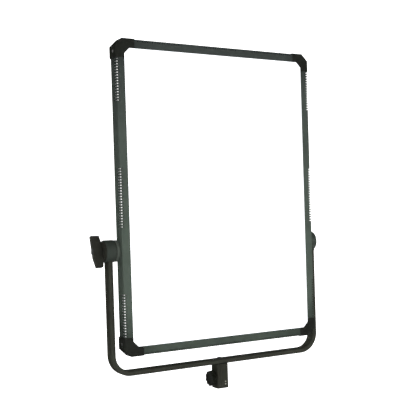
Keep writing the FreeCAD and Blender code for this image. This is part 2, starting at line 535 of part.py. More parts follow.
# shallow vertical flutes in the front and back faces
for sy in (-1, 1):
    blk = blk.cut(cyl_z(2.4, -1, BLOCK_H + 1, -5.2, sy * (BLOCK_Y / 2 + 1.6)))
    blk = blk.cut(cyl_z(2.4, -1, BLOCK_H + 1, -10.2 + 20.4, sy * (BLOCK_Y / 2 + 1.9)))
boss = cyl_x(9.0, -BLOCK_X / 2 - 3.0, -BLOCK_X / 2 + 1, 0, Z_CLAMP)
blk = blk.fuse(boss).removeSplitter()
blk = blk.cut(cyl_z(SOCKET_R, -1, SOCKET_L, 0, 0))
blk = blk.cut(cyl_x(4.05, -60, 0, 0, Z_CLAMP))
pin_z = (9.0, 14.5)
for z in pin_z:
    blk = blk.cut(cyl_y(1.6, -BLOCK_Y / 2 - 1, -BLOCK_Y / 2 + 3.2, 6.0, z))
save("receiver_block", blk)
setscrews = []
for z in pin_z:
    s = cyl_y(1.6, -BLOCK_Y / 2 - 0.1, -BLOCK_Y / 2 + 3.2, 6.0, z)
    s = s.cut(Part.Face(poly([(6.0 + 0.85 * math.cos(math.radians(a)), -BLOCK_Y / 2 - 0.5, z + 0.85 * math.sin(math.radians(a))) for a in range(0, 360, 60)])).extrude(V(0, 1.8, 0)))
    setscrews.append(s)
save("receiver_grub_screws", Part.makeCompound(setscrews))
tb = cyl_z(4.0 - 0.6, SOCKET_L + 1, Z_RUN + RUN_T / 2, 0, 0).fuse(cyl_z(5.0, Z_RUN + RUN_T / 2 + 0.8, Z_RUN + RUN_T / 2 + 2.8, 0, 0)).fuse(cyl_z(3.4, Z_RUN, Z_RUN + RUN_T / 2 + 2, 0, 0)).removeSplitter()
tb = tb.makeFillet(0.7, [ed for ed in tb.Edges if abs(ed.BoundBox.ZMin - (Z_RUN + RUN_T / 2 + 2.8)) < 1e-6 and ed.BoundBox.ZLength < 1e-6])
tb = tb.cut(Part.Face(poly([(2.6 * math.cos(math.radians(a)), 2.6 * math.sin(math.radians(a)), Z_RUN + RUN_T / 2 + 1.4) for a in range(0, 360, 60)])).extrude(V(0, 0, 6)))
save("receiver_bolt", tb)
save("receiver_washer", cyl_z(7.0, Z_RUN + RUN_T / 2, Z_RUN + RUN_T / 2 + 0.8, 0, 0).cut(cyl_z(3.5, 0, 200, 0, 0)))

# clamp screw with a lobed head, on the left side of the block
CK0, CK1 = -BLOCK_X / 2 - 3.0 - 11.0, -BLOCK_X / 2 - 3.0 - 1.2
head = cyl_x(15.4, CK0, CK1 - 2.0, 0, Z_CLAMP)
lobes = [cyl_x(3.6, CK0, CK1 - 2.0, 13.6 * math.cos(2 * math.pi * (i + 0.5) / 10), Z_CLAMP + 13.6 * math.sin(2 * math.pi * (i + 0.5) / 10)) for i in range(10)]
head = head.multiFuse(lobes).removeSplitter()
gaps = [cyl_x(2.2, CK0 - 1, CK1, 17.4 * math.cos(2 * math.pi * i / 10), Z_CLAMP + 17.4 * math.sin(2 * math.pi * i / 10)) for i in range(10)]
head = cut(head, gaps)
head = head.fuse(cyl_x(8.0, CK1 - 2.2, CK1, 0, Z_CLAMP)).removeSplitter()
head = head.cut(cyl_x(11.0, CK0 - 1, CK0 + 1.4, 0, Z_CLAMP)).cut(cyl_x(4.0, CK0 + 4, 0, 0, Z_CLAMP))
save("clamp_knob", head)
save("clamp_screw", cyl_x(4.0, CK0 + 4, -SOCKET_R - 0.9, 0, Z_CLAMP))

total = sum(v for _, v in made.values())
print("%d nodes" % len(made))
for n in sorted(made):
    print("  %-26s solids %3d  volume %10.1f mm3" % (n, made[n][0], made[n][1]))
print("pivot height %.2f, head %.2f to %.2f" % (ZP, ZB, ZT))
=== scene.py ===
import bpy
import bmesh
import json
import math
from mathutils import Vector, Matrix


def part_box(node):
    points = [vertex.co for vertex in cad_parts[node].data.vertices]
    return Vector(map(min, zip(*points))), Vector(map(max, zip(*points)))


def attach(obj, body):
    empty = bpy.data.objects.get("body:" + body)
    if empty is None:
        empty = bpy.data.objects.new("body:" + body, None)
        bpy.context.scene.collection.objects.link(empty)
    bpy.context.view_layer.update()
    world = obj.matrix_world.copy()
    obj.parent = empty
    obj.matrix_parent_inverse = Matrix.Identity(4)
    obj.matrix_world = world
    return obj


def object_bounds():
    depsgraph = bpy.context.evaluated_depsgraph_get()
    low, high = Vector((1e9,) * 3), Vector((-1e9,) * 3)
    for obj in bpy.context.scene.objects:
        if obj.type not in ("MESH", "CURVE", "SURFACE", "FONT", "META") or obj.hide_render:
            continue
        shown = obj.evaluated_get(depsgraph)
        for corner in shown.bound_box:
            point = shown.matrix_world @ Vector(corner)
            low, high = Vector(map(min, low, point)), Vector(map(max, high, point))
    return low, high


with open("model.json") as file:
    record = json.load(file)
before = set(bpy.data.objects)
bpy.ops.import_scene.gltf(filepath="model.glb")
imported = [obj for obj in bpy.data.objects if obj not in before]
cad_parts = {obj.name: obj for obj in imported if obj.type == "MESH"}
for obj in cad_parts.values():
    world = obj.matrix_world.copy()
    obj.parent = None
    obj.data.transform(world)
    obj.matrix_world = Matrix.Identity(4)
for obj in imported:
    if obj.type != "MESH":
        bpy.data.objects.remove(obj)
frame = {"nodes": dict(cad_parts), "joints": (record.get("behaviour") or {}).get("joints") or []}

CAD_BOX = [list(v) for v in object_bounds()]
N = frame["nodes"]
MM = 0.001


# ------------------------------------------------------------------ where things are, from the frame
def mid(node):
    a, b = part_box(node)
    return (a + b) / 2


tilt = next(j for j in frame["joints"] if j["name"] == "panel_tilt")
PIVOT = Vector(tilt["pos_m"])
rl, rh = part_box("frame_rail_left"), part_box("frame_rail_right")
rt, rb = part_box("frame_rail_top"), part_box("frame_rail_bottom")
HEAD_X0, HEAD_X1 = rl[0].x, rh[1].x
HEAD_Z0, HEAD_Z1 = rb[0].z, rt[1].z
FRONT, RIM_BACK = rl[0].y, rl[1].y
ZC = (HEAD_Z0 + HEAD_Z1) / 2
HEAD_W, HEAD_H = HEAD_X1 - HEAD_X0, HEAD_Z1 - HEAD_Z0


# ------------------------------------------------------------------ node helpers
class Mat:
    def __init__(self, name):
        self.m = bpy.data.materials.new(name)
        self.m.use_nodes = True
        self.nt = self.m.node_tree
        self.nt.nodes.clear()
        self.out = self.nt.nodes.new("ShaderNodeOutputMaterial")
        self.tc = self.nt.nodes.new("ShaderNodeTexCoord")
        self.pos = self.tc.outputs["Object"]

    def node(self, kind, **props):
        n = self.nt.nodes.new(kind)
        ins = props.pop("ins", {})
        for k, v in props.items():
            setattr(n, k, v)
        for k, v in ins.items():
            if hasattr(v, "is_output") or isinstance(v, bpy.types.NodeSocket):
                self.nt.links.new(v, n.inputs[k])
            else:
                n.inputs[k].default_value = v
        return n

    def noise(self, scale, detail=3.0, rough=0.55, vec=None, dist=0.0):
        n = self.node("ShaderNodeTexNoise", ins={"Scale": scale, "Detail": detail, "Roughness": rough, "Distortion": dist})
        self.nt.links.new(vec or self.pos, n.inputs["Vector"])
        return n.outputs["Fac"]

    def stretch(self, sx, sy, sz):
        n = self.node("ShaderNodeMapping")
        n.inputs["Scale"].default_value = (sx, sy, sz)
        self.nt.links.new(self.pos, n.inputs["Vector"])
        return n.outputs["Vector"]

    def ramp(self, fac, stops, interp="LINEAR"):
        n = self.node("ShaderNodeValToRGB")
        n.color_ramp.interpolation = interp
        el = n.color_ramp.elements
        while len(el) < len(stops):
            el.new(0.5)
        for e, (p, c) in zip(el, stops):
            e.position = p
            e.color = (*c, 1.0) if len(c) == 3 else c
        self.nt.links.new(fac, n.inputs["Fac"])
        return n.outputs["Color"]

    def math(self, op, a, b=None, c=None, clamp=False):
        n = self.node("ShaderNodeMath", operation=op, use_clamp=clamp)
        for i, v in enumerate((a, b, c)):
            if v is None:
                continue
            if isinstance(v, (int, float)):
                n.inputs[i].default_value = v
            else:
                self.nt.links.new(v, n.inputs[i])
        return n.outputs[0]

    def maprange(self, v, a, b, c, d):
        n = self.node("ShaderNodeMapRange", ins={"From Min": a, "From Max": b, "To Min": c, "To Max": d})
        self.nt.links.new(v, n.inputs["Value"])
        return n.outputs["Result"]

    def mix(self, fac, a, b, blend="MIX"):
        n = self.node("ShaderNodeMix", data_type="RGBA", blend_type=blend)
        for k, v in (("Factor", fac), ("A", a), ("B", b)):
            s = [i for i in n.inputs if i.name == k and (i.type == "RGBA" or k == "Factor" and i.type == "VALUE")][0]
            if isinstance(v, bpy.types.NodeSocket):
                self.nt.links.new(v, s)
            elif k == "Factor":
                s.default_value = v
            else:
                s.default_value = (*v, 1.0)
        return [o for o in n.outputs if o.type == "RGBA"][0]

    def xyz(self):
        n = self.node("ShaderNodeSeparateXYZ")
        self.nt.links.new(self.pos, n.inputs[0])
        return n.outputs

    def bump(self, height, strength, dist=0.0002, normal=None):
        n = self.node("ShaderNodeBump", ins={"Strength": strength, "Distance": dist})
        self.nt.links.new(height, n.inputs["Height"])
        if normal is not None:
            self.nt.links.new(normal, n.inputs["Normal"])
        return n.outputs["Normal"]

    def rounded(self, radius):
        return self.node("ShaderNodeBevel", samples=6, ins={"Radius": radius}).outputs["Normal"]

    def edge(self, radius):
        """0 on flat faces, 1 on convex and concave edges, for wear."""
        bev = self.node("ShaderNodeBevel", samples=6, ins={"Radius": radius})
        geo = self.node("ShaderNodeNewGeometry")
        dot = self.node("ShaderNodeVectorMath", operation="DOT_PRODUCT")
        self.nt.links.new(bev.outputs["Normal"], dot.inputs[0])
        self.nt.links.new(geo.outputs["True Normal"], dot.inputs[1])
        return self.maprange(dot.outputs["Value"], 0.985, 0.80, 0.0, 1.0)

    def principled(self, **ins):
        n = self.node("ShaderNodeBsdfPrincipled")
        for k, v in ins.items():
            k = k.replace("_", " ")
            if isinstance(v, bpy.types.NodeSocket):
                self.nt.links.new(v, n.inputs[k])
            elif isinstance(v, tuple) and len(v) == 3:
                n.inputs[k].default_value = (*v, 1.0)
            else:
                n.inputs[k].default_value = v
        self.nt.links.new(n.outputs[0], self.out.inputs["Surface"])
        return n


def powder(name, dark, light, wear, grain=900.0, rough=(0.42, 0.58), strength=0.35, edge_r=0.0007, metal=0.0, spec=0.5, painted_light_grad=None):
    """Powder coat: orange-peel texture, slow colour drift, brighter worn edges, dust specks."""
    m = Mat(name)
    drift = m.noise(9.0, 4.0, 0.6)
    col = m.ramp(drift, [(0.3, dark), (0.72, light)])
    if painted_light_grad:
        x, y, z = m.xyz()
        # painted light: below the top of the head the colour is raised and tinted green, standing in for the lit
        # panel's glow on the rails
        t = m.maprange(z, painted_light_grad[0], painted_light_grad[1], 0.0, 1.0)
        col = m.mix(t, col, m.mix(1.0, col, painted_light_grad[2], "MULTIPLY"))
        # painted shade: the rails darken towards the four corners; the colour is also darker along the bottom rail
        away = m.math("MAXIMUM", m.math("SUBTRACT", HEAD_W / 2, m.math("ABSOLUTE", x)), m.math("SUBTRACT", HEAD_H / 2, m.math("ABSOLUTE", m.math("SUBTRACT", z, ZC))))
        f = m.math("MULTIPLY", m.maprange(away, 0.030, 0.090, 0.62, 1.0), m.maprange(z, HEAD_Z0 + 0.018, HEAD_Z0 + 0.05, 0.80, 1.0))
        col = m.mix(f, (0.0, 0.0, 0.0), col)
    fine = m.noise(grain, 2.0, 0.5)
    speck = m.ramp(m.noise(1700.0, 1.0, 0.4), [(0.70, (0, 0, 0)), (0.78, (1, 1, 1))])
    col = m.mix(m.math("MULTIPLY", speck, 0.10), col, wear)
    e = m.edge(edge_r)
    scr = m.ramp(m.noise(160.0, 5.0, 0.7), [(0.42, (0, 0, 0)), (0.68, (1, 1, 1))])
    worn = m.math("MULTIPLY", e, m.math("MULTIPLY_ADD", scr, 0.5, 0.18), clamp=True)
    col = m.mix(worn, col, wear)
    smudge = m.noise(24.0, 5.0, 0.65, dist=0.6)
    r = m.maprange(smudge, 0.3, 0.7, rough[0], rough[1])
    r = m.math("SUBTRACT", r, m.math("MULTIPLY", worn, 0.10))
    nrm = m.bump(fine, strength, 0.00012, m.rounded(edge_r))
    m.principled(Base_Color=col, Roughness=r, Normal=nrm, Metallic=metal, Specular_IOR_Level=spec, Specular_Tint=(0.10, 0.10, 0.10))
    return m.m


def moulded(name, dark, light, rough=(0.45, 0.62), grain=1300.0, strength=0.3, edge_r=0.0006, wear=(0.10, 0.105, 0.10), spec=0.5):
    m = Mat(name)
    drift = m.noise(18.0, 4.0, 0.6)
    col = m.ramp(drift, [(0.3, dark), (0.7, light)])
    e = m.edge(edge_r)
    scr = m.ramp(m.noise(240.0, 4.0, 0.7), [(0.45, (0, 0, 0)), (0.66, (1, 1, 1))])
    worn = m.math("MULTIPLY", e, m.math("MULTIPLY_ADD", scr, 0.35, 0.1), clamp=True)
    col = m.mix(worn, col, wear)
    v = m.node("ShaderNodeTexVoronoi", ins={"Scale": grain})
    m.nt.links.new(m.pos, v.inputs["Vector"])
    h = m.math("ADD", v.outputs["Distance"], m.math("MULTIPLY", m.noise(70.0, 3.0), 0.5))
    r = m.maprange(m.noise(30.0, 5.0, 0.6), 0.3, 0.7, rough[0], rough[1])
    m.principled(Base_Color=col, Roughness=r, Normal=m.bump(h, strength, 0.0001, m.rounded(edge_r)), Specular_IOR_Level=spec)
    return m.m


def metal(name, col, rough=(0.2, 0.38), axis=(1, 1, 1), scale=400.0, strength=0.15, tint=(0.5, 0.5, 0.5)):
    m = Mat(name)
    v = m.stretch(*axis)
    lines = m.noise(scale, 4.0, 0.6, vec=v)
    c = m.ramp(lines, [(0.3, tuple(x * 0.8 for x in col)), (0.7, col)])
    c = m.mix(m.math("MULTIPLY", m.ramp(m.noise(60.0, 5.0, 0.7), [(0.55, (0, 0, 0)), (0.8, (1, 1, 1))]), 0.35), c, tint)
    r = m.maprange(lines, 0.3, 0.7, rough[0], rough[1])
    m.principled(Base_Color=c, Metallic=1.0, Roughness=r, Normal=m.bump(lines, strength, 0.00008, m.rounded(0.0003)))
    return m.m


def glow(name, power, edge_tint=(0.93, 0.96, 1.0), soft=False):
    """Opal diffuser lit from behind: bright field, slightly dimmer and cooler at its border, fine prismatic grain."""
    m = Mat(name)
    x, y, z = m.xyz()
    ax = m.math("ABSOLUTE", x)
    az = m.math("ABSOLUTE", m.math("SUBTRACT", z, ZC))
    dx = m.math("SUBTRACT", HEAD_W / 2, ax)
    dz = m.math("SUBTRACT", HEAD_H / 2, az)
    d = m.math("MINIMUM", dx, dz)
    t = m.maprange(d, 0.010, 0.055, 0.72, 1.0)
    cells = m.noise(55.0, 2.0, 0.4)
    t = m.math("MULTIPLY", t, m.maprange(cells, 0.2, 0.8, 0.985, 1.015))
    c = m.mix(m.maprange(d, 0.012, 0.06, 0.0, 1.0), edge_tint, (1.0, 1.0, 1.0))
    grain = m.node("ShaderNodeTexVoronoi", ins={"Scale": 900.0})
    m.nt.links.new(m.pos, grain.inputs["Vector"])
    m.principled(Base_Color=(0.93, 0.93, 0.93), Roughness=0.35, Normal=m.bump(grain.outputs["Distance"], 0.2, 0.0001),
                 Emission_Color=c, Emission_Strength=m.math("MULTIPLY", t, power))
    return m.m


# ------------------------------------------------------------------ materials
# the rails carry painted light (lighter and greener below the top) and painted shade (darker towards the corners)
RAIL = powder("rail_powder_coat", (0.0407, 0.0469, 0.0441), (0.0576, 0.0667, 0.0619), (0.13, 0.15, 0.14), grain=1100.0, rough=(0.40, 0.54), spec=0.0, metal=0.22,
              painted_light_grad=(HEAD_Z1 - 0.03, HEAD_Z1 - 0.42, (1.50, 1.62, 1.44)))
CORNER = moulded("corner_moulding", (0.0125, 0.0135, 0.0115), (0.0200, 0.0215, 0.0185), rough=(0.40, 0.55), wear=(0.08, 0.085, 0.075), spec=0.0)
YOKE = powder("yoke_powder_coat", (0.0312, 0.0324, 0.0258), (0.0462, 0.0480, 0.0390), (0.12, 0.13, 0.11), grain=1000.0, rough=(0.34, 0.46), spec=0.0, metal=0.25)
HOUSING = powder("housing_powder_coat", (0.024, 0.026, 0.024), (0.036, 0.039, 0.036), (0.12, 0.13, 0.12), grain=700.0, rough=(0.5, 0.66), strength=0.55, spec=0.10)
HUB = powder("hub_powder_coat", (0.0375, 0.0444, 0.0381), (0.0550, 0.0644, 0.0556), (0.12, 0.14, 0.12), rough=(0.30, 0.42), spec=0.0, metal=0.25)
# the pivot spacers are coloured well lighter than the hub: a painted highlight for the light arc at the spacer's edge
SPACER_PAINTED_HIGHLIGHT = powder("flange_coat_painted_highlight", (0.0960, 0.1120, 0.0960), (0.1280, 0.1472, 0.1280), (0.16, 0.18, 0.16), grain=1000.0, rough=(0.34, 0.46), spec=0.0, metal=0.25)
BLACK = moulded("black_moulding", (0.012, 0.0125, 0.011), (0.020, 0.021, 0.018), spec=0.12)
HANDLE = moulded("handle_moulding", (0.0180, 0.0185, 0.0150), (0.0290, 0.0300, 0.0245), rough=(0.42, 0.56), strength=0.7, spec=0.02)
KNOB = moulded("knob_moulding", (0.0065, 0.0075, 0.0052), (0.0110, 0.0125, 0.0090), rough=(0.42, 0.56), strength=0.5, spec=0.02)
BLOCK = powder("receiver_powder_coat", (0.0263, 0.0269, 0.0213), (0.0400, 0.0413, 0.0338), (0.12, 0.12, 0.10), rough=(0.28, 0.40), spec=0.0, metal=0.30)
SCREW = metal("black_oxide_screw", (0.045, 0.045, 0.042), (0.3, 0.5), tint=(0.12, 0.115, 0.11))
ZINC = metal("zinc_screw", (0.42, 0.41, 0.36), (0.26, 0.45))
STEEL = metal("turned_steel", (0.58, 0.58, 0.57), (0.18, 0.34), axis=(40, 1, 1), scale=300.0)
ALU = metal("mill_aluminium", (0.78, 0.79, 0.80), (0.3, 0.5), axis=(1, 1, 30), scale=120.0)
RUBBER = moulded("gasket_rubber", (0.010, 0.010, 0.010), (0.018, 0.018, 0.018), rough=(0.7, 0.85), spec=0.2)
FIBRE = moulded("friction_fibre", (0.030, 0.026, 0.022), (0.050, 0.045, 0.040), rough=(0.7, 0.9), grain=2200.0, spec=0.2)
GREEN = moulded("green_board", (0.012, 0.07, 0.03), (0.02, 0.11, 0.05), rough=(0.3, 0.4))
WHITE_PCB = moulded("white_board", (0.75, 0.75, 0.73), (0.85, 0.85, 0.83), rough=(0.35, 0.5))
WINDOW = moulded("smoked_window", (0.006, 0.007, 0.008), (0.010, 0.011, 0.013), rough=(0.06, 0.16), grain=300.0, strength=0.05, spec=0.5)
INK = moulded("panel_ink", (0.62, 0.63, 0.62), (0.75, 0.76, 0.74), rough=(0.5, 0.7), wear=(0.4, 0.4, 0.4))
LED = glow("emitters_lit", 3.0)
DIFFUSER = glow("diffuser_lit", 1.05)


def box_wall(name):
    """Opaque white walls round the LEDs: reflective inside, matt charcoal outside."""
    m = Mat(name)
    x, y, z = m.xyz()
    ax = m.math("ABSOLUTE", x)
    az = m.math("ABSOLUTE", m.math("SUBTRACT", z, ZC))
    d = m.math("MINIMUM", m.math("SUBTRACT", HEAD_W / 2, ax), m.math("SUBTRACT", HEAD_H / 2, az))
    inside = m.maprange(d, 0.0106, 0.0109, 0.0, 1.0)
    nz = m.noise(420.0, 3.0)
    col = m.mix(inside, m.mix(nz, (0.006, 0.006, 0.0055), (0.012, 0.012, 0.011)), m.mix(nz, (0.82, 0.82, 0.81), (0.88, 0.88, 0.87)))
    m.principled(Base_Color=col, Roughness=m.maprange(nz, 0.3, 0.7, 0.55, 0.75), Specular_IOR_Level=0.15, Normal=m.bump(nz, 0.25, 0.0001))
    return m.m


def painted_glow_material(name, power):
    """Emissive strip behind the side slots, a painted glow standing in for light seen through them: each cell glows by
    its own level, held in the level attribute.
    """
    m = Mat(name)
    at = m.node("ShaderNodeAttribute", attribute_name="level")
    nz = m.noise(600.0, 2.0)
    lv = m.math("MULTIPLY", at.outputs["Fac"], m.maprange(nz, 0.2, 0.8, 0.94, 1.04))
    m.principled(Base_Color=m.mix(at.outputs["Fac"], (0.008, 0.008, 0.007), (0.75, 0.75, 0.74)), Roughness=m.maprange(nz, 0.3, 0.7, 0.4, 0.6),
                 Specular_IOR_Level=0.1, Normal=m.bump(nz, 0.2, 0.0001), Emission_Color=(1.0, 1.0, 0.985), Emission_Strength=m.math("MULTIPLY", lv, power))
    return m.m


LIGHTBOX = box_wall("light_box_white")
# painted slot glow: an emitting strip where there is no lamp
PAINTED_SLOT_GLOW = painted_glow_material("slot_painted_glow_strip", 0.95)

look = {
    "frame_rail_left": RAIL, "frame_rail_right": RAIL, "frame_rail_top": RAIL, "frame_rail_bottom": RAIL,
    "corner_cap_top_left": CORNER, "corner_cap_top_right": CORNER, "corner_cap_bottom_left": CORNER, "corner_cap_bottom_right": CORNER,
    "cap_screws": SCREW, "diffuser_gasket": RUBBER, "diffuser_panel": DIFFUSER, "diffuser_retainer": LIGHTBOX, "light_box_walls": LIGHTBOX,
    "led_boards": WHITE_PCB, "led_strips": LED, "back_plate": ALU, "rear_housing": HOUSING, "housing_standoffs": ALU, "rear_screws": SCREW,
    "driver_board": GREEN, "driver_components": BLACK, "control_box": BLACK, "control_faceplate": BLACK, "control_box_screws": SCREW,
    "display_window": WINDOW, "control_board": GREEN, "encoder_bodies": STEEL, "dimmer_knob": KNOB, "colour_knob": KNOB,
    "dimmer_shaft": STEEL, "colour_shaft": STEEL, "mode_button": HANDLE, "menu_button": HANDLE, "channel_button": HANDLE, "tact_switches": BLACK,
    "power_switch_frame": BLACK, "power_rocker": BLACK, "dc_inlet": BLACK, "data_sockets": BLACK,
    "pivot_bosses": HOUSING, "pivot_spacers": SPACER_PAINTED_HIGHLIGHT, "pivot_screws": SCREW, "pivot_nut_plates": STEEL, "pivot_bolt_right": STEEL,
    "yoke_tube": YOKE, "yoke_lug_left": HUB, "yoke_lug_right": HUB, "pivot_cap_right": BLACK, "friction_discs": FIBRE,
    "tilt_lock_handle": HANDLE, "tilt_lock_cap": BLACK, "tilt_lock_stud": STEEL,
    "receiver_block": BLOCK, "receiver_grub_screws": ZINC, "receiver_bolt": SCREW, "receiver_washer": SCREW,
    "clamp_knob": KNOB, "clamp_screw": STEEL,
}
for name, ob in N.items():
    ob.data.materials.clear()
    ob.data.materials.append(look[name])

# ------------------------------------------------------------------ fine pieces that ride on the bodies
def piece(name, verts, faces, mat, body, smooth=False, level=None):
    me = bpy.data.meshes.new(name)
    me.from_pydata([tuple(v) for v in verts], [], faces)
    me.validate()
    me.materials.append(mat)
    if level is not None:
        at = me.attributes.new("level", "FLOAT", "FACE")
        for i, v in enumerate(level):
            at.data[i].value = v
    for p in me.polygons:
        p.use_smooth = smooth
    ob = bpy.data.objects.new(name, me)
    bpy.context.scene.collection.objects.link(ob)
    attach(ob, body)
    return ob


def slab(verts, faces, centre, half, rot=0.0, axis="Y", taper=0.8, out=(0, 1, 0)):
    """Small raised bar with its top face tapered in; the out axis is the raised side."""
    b = len(verts)
    o = Vector(out)
    t1 = Vector((1, 0, 0)) if abs(o.x) < 0.5 else Vector((0, 1, 0))
    t2 = o.cross(t1)
    c, s = math.cos(rot), math.sin(rot)
    e1, e2 = t1 * c + t2 * s, t2 * c - t1 * s
    for k, f in ((-1, 1.0), (1, taper)):
        for a, d in ((-1, -1), (1, -1), (1, 1), (-1, 1)):
            verts.append(Vector(centre) + e1 * half[0] * a * f + e2 * half[1] * d * f + o * half[2] * k)
    faces += [(b + 4, b + 5, b + 6, b + 7), (b + 3, b + 2, b + 1, b)]
    for i in range(4):
        j = (i + 1) % 4
        faces.append((b + i, b + j, b + 4 + j, b + 4 + i))


# painted glow seen through the side slots: an emissive strip standing in for light showing through them, one cell per
# slot
PITCH = 0.00575
groups = ((0.245, 16), (0.0, 22), (-0.245, 16))
IN = 0.0086 - 0.0007
for side in (-1, 1):
    vs, fs, lv = [], [], []
    x = side * (HEAD_W / 2 - IN)
    x_lip = side * (HEAD_W / 2 - 0.0040)
    for zc, n in groups:
        for k in range(n):
            # painted glow level: brightest mid-group, dimmer towards each group's ends
            v = 1.0 - 0.5 * abs(2 * (k + 0.5) / n - 1) ** 3
            z = ZC + zc + ((n - 1) / 2 - k) * PITCH
            # a dark band of painted shade at the front, the painted glow in the core, a dark band of painted shade at
            # the back, then a dark unlit flap that closes the gap to the rim's rear lip
            for xa, y0, xb, y1, f in ((x, 0.0026, x, 0.0110, 0.02), (x, 0.0110, x, 0.0185, 1.0), (x, 0.0185, x, 0.0260, 0.02), (x, 0.0260, x_lip, 0.0260, 0.0)):
                b = len(vs)
                vs += [(xa, FRONT + y0, z - PITCH / 2), (xb, FRONT + y1, z - PITCH / 2), (xb, FRONT + y1, z + PITCH / 2), (xa, FRONT + y0, z + PITCH / 2)]
                fs.append((b, b + 1, b + 2, b + 3) if side > 0 else (b + 3, b + 2, b + 1, b))
                lv.append(v * f)
    piece("slot_painted_glow_strip_" + ("left" if side < 0 else "right"), vs, fs, PAINTED_SLOT_GLOW, "head", level=lv)
# dark sheets behind the top and bottom slots: painted shade, so these slots read dark
for side in (-1, 1):
    vs, fs = [], []
    z = ZC + side * (HEAD_H / 2 - IN)
    z_lip = ZC + side * (HEAD_H / 2 - 0.0040)
    xe = HEAD_W / 2 - 0.043
    for za, y0, zb, y1 in ((z, 0.0026, z, 0.0260), (z, 0.0260, z_lip, 0.0260)):
        b = len(vs)
        vs += [(-xe, FRONT + y0, za), (xe, FRONT + y0, za), (xe, FRONT + y1, zb), (-xe, FRONT + y1, zb)]
        fs.append((b, b + 1, b + 2, b + 3) if side < 0 else (b + 3, b + 2, b + 1, b))
    piece("painted_shade_sheet_" + ("bottom" if side < 0 else "top"), vs, fs, RUBBER, "head")

# grip ribs and pointer on the two rotary knobs, graduations on the faceplate round them
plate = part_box("control_faceplate")
for node, body in (("dimmer_knob", "dimmer"), ("colour_knob", "colour")):
    a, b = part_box(node)
    c = (a + b) / 2
    R = (b.x - a.x) / 2
    vs, fs = [], []
    for i in range(28):
        t = 2 * math.pi * i / 28
        rad = Vector((math.cos(t), 0, math.sin(t)))
        y0, y1 = a.y + 0.0022, b.y - 0.0022
        b0 = len(vs)
        tan = Vector((-math.sin(t), 0, math.cos(t)))
        for y in (y0, y1):
            vs += [c * 1.0 + rad * (R - 0.0004) + tan * 0.0006 + Vector((0, y - c.y, 0)), c + rad * (R + 0.00035) + Vector((0, y - c.y, 0)),
                   c + rad * (R - 0.0004) - tan * 0.0006 + Vector((0, y - c.y, 0))]
        fs += [(b0, b0 + 1, b0 + 4, b0 + 3), (b0 + 1, b0 + 2, b0 + 5, b0 + 4), (b0 + 2, b0 + 1, b0), (b0 + 3, b0 + 4, b0 + 5), (b0, b0 + 3, b0 + 5, b0 + 2)]
    piece(node + "_ribs", vs, fs, KNOB, body)
    vs, fs = [], []
    slab(vs, fs, (c.x, b.y + 0.0001, c.z + R * 0.62), (0.0006, R * 0.26, 0.0002), out=(0, 1, 0))
    piece(node + "_pointer", vs, fs, INK, body)
    vs, fs = [], []
    for i in range(11):
        t = math.radians(-135 + 27 * i)
        p = Vector((math.sin(t), 0, math.cos(t)))
        slab(vs, fs, (c.x + p.x * (R + 0.0042), plate[1].y + 0.00008, c.z + p.z * (R + 0.0042)), (0.0003, 0.0010 if i % 5 else 0.0017, 0.0001), rot=t, out=(0, 1, 0))
    piece(node + "_graduations", vs, fs, INK, "head")

# figures on the display: brightness and colour temperature, seven segments each
SEG = {"0": "abcdef", "1": "bc", "2": "abged", "3": "abgcd", "4": "fgbc", "5": "afgcd", "6": "afgedc", "7": "abc", "8": "abcdefg", "9": "abcdfg"}
da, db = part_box("display_window")
vs, fs = [], []


def digits(text, x, z, h):
    w = h * 0.5
    at = {"a": (0, h / 2, 0), "g": (0, 0, 0), "d": (0, -h / 2, 0), "f": (-w / 2, h / 4, 1), "b": (w / 2, h / 4, 1), "e": (-w / 2, -h / 4, 1), "c": (w / 2, -h / 4, 1)}
    for ch in text:
        for sname in SEG[ch]:
            dx, dz, up = at[sname]
            half = (0.00042, h / 4 - 0.0004, 0.00012) if up else (w / 2 - 0.0004, 0.00042, 0.00012)
            # the panel is read from behind, so the text runs towards -X
            slab(vs, fs, (x - dx, db.y + 0.00010, z + dz), (half[0], half[1], half[2]), out=(0, 1, 0), taper=0.9)
        x -= w * 1.75


DISPLAY_H = db.z - da.z
digits("100", db.x - 0.010, (da.z + db.z) / 2 + DISPLAY_H * 0.22, 0.0085)
digits("5600", db.x - 0.010, (da.z + db.z) / 2 - DISPLAY_H * 0.22, 0.0085)
FIGURE = Mat("display_figures")
fz_ = FIGURE.noise(900.0, 2.0)
FIGURE.principled(Base_Color=(0.5, 0.8, 0.85), Roughness=FIGURE.maprange(fz_, 0.3, 0.7, 0.3, 0.45), Emission_Color=FIGURE.ramp(fz_, [(0.2, (0.50, 0.86, 0.92)), (0.8, (0.62, 0.95, 1.0))]),
                  Emission_Strength=0.9, Normal=FIGURE.bump(fz_, 0.1, 0.0001))
piece("display_figures", vs, fs, FIGURE.m, "head")

